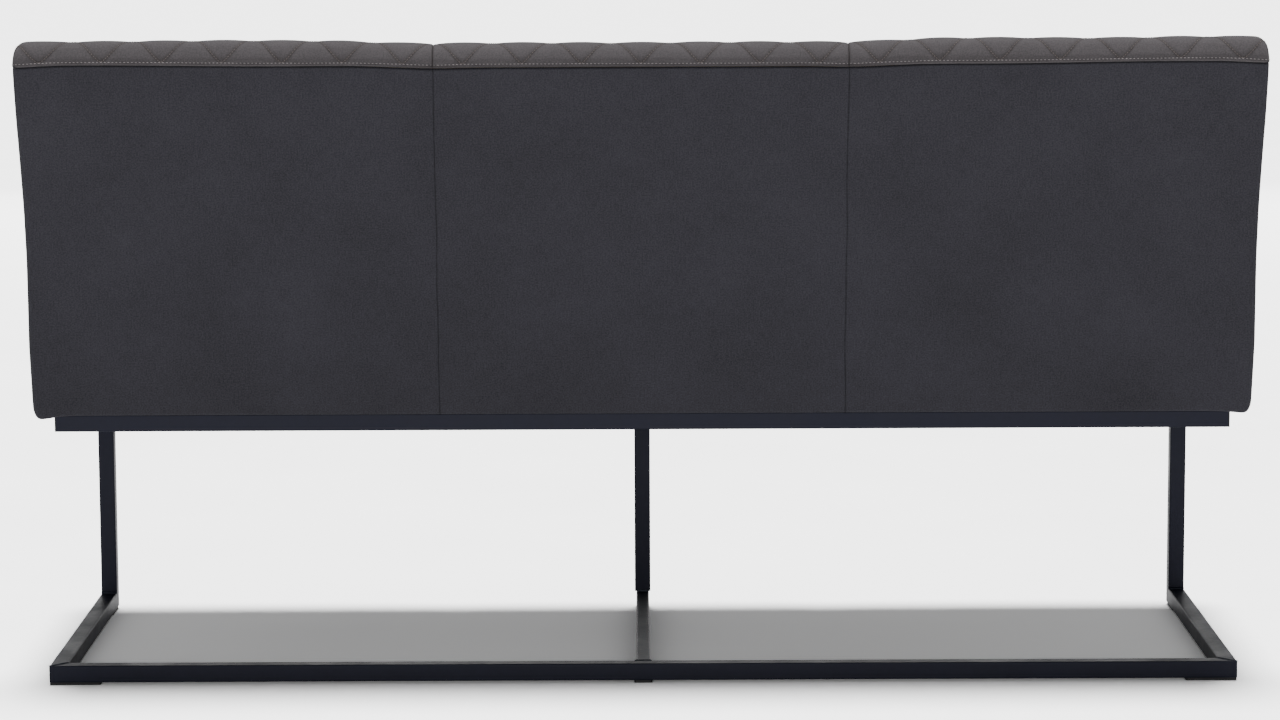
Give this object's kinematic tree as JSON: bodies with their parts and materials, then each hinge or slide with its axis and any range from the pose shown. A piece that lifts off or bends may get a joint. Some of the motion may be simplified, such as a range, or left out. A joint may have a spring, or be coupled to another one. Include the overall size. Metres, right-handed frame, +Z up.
{
  "type": "upholstered dining bench",
  "caption": "Upholstered dining bench with a leaning, diamond-quilted back and plain rear panels on a cantilevered square-tube steel base.",
  "frame": {"origin": "on the floor, under the middle of the whole bench", "axes": "+Z up; +X along the bench, to the right of a person who faces its front; +Y to the rear, so a sitter faces -Y"},
  "size_m": [1.8, 0.635, 0.9359],
  "materials": {
    "steel_frame": "blue-black satin powder coat",
    "weld": "powder coated weld beads, slightly mottled",
    "glides": "matt black",
    "end_caps": "matt black",
    "fasteners": "zinc plated",
    "dust_cloth": "thin black non-woven cloth",
    "webbing": "elastic webbing",
    "foam": "open-cell foam",
    "timber": "planed softwood",
    "plywood": "plywood",
    "quilted_cover": "warm grey fine cloth, stitched in diamonds",
    "seat_cover": "warm grey fine cloth",
    "plain_cover": "charcoal grey fine cloth"
  },
  "bodies": {
    "root": {"floor_rear_tube": "steel_frame", "floor_runner_left": "steel_frame", "floor_runner_middle": "steel_frame", "floor_runner_right": "steel_frame", "upright_left": "steel_frame", "upright_middle": "steel_frame", "upright_right": "steel_frame", "seat_arm_left": "steel_frame", "seat_arm_middle": "steel_frame", "seat_arm_right": "steel_frame", "seat_front_bar": "steel_frame", "seat_rear_bar": "steel_frame", "weld_beads": "weld", "tube_end_caps": "end_caps", "rear_glide_left": "glides", "rear_glide_middle": "glides", "rear_glide_right": "glides", "front_glides": "glides", "frame_bolts": "fasteners", "bolt_washers": "fasteners", "threaded_inserts": "fasteners", "dust_cover": "dust_cloth", "seat_rail_front": "timber", "seat_rail_rear": "timber", "seat_rail_left": "timber", "seat_rail_right": "timber", "seat_cross_rails": "timber", "corner_blocks": "timber", "seat_webbing": "webbing", "seat_foam": "foam", "back_post_left": "plywood", "back_post_inner_left": "plywood", "back_post_inner_right": "plywood", "back_post_right": "plywood", "post_screws": "fasteners", "back_top_rail": "timber", "back_board": "plywood", "back_foam": "foam", "seat_cushion_left": "seat_cover", "seat_cushion_middle": "seat_cover", "seat_cushion_right": "seat_cover", "back_cushion_left": "quilted_cover", "back_cushion_middle": "quilted_cover", "back_cushion_right": "quilted_cover", "rear_panel_left": "plain_cover", "rear_panel_middle": "plain_cover", "rear_panel_right": "plain_cover", "back_side_left": "plain_cover", "back_side_right": "plain_cover", "seat_side_left": "plain_cover", "seat_side_right": "plain_cover"}
  },
  "joints": []
}
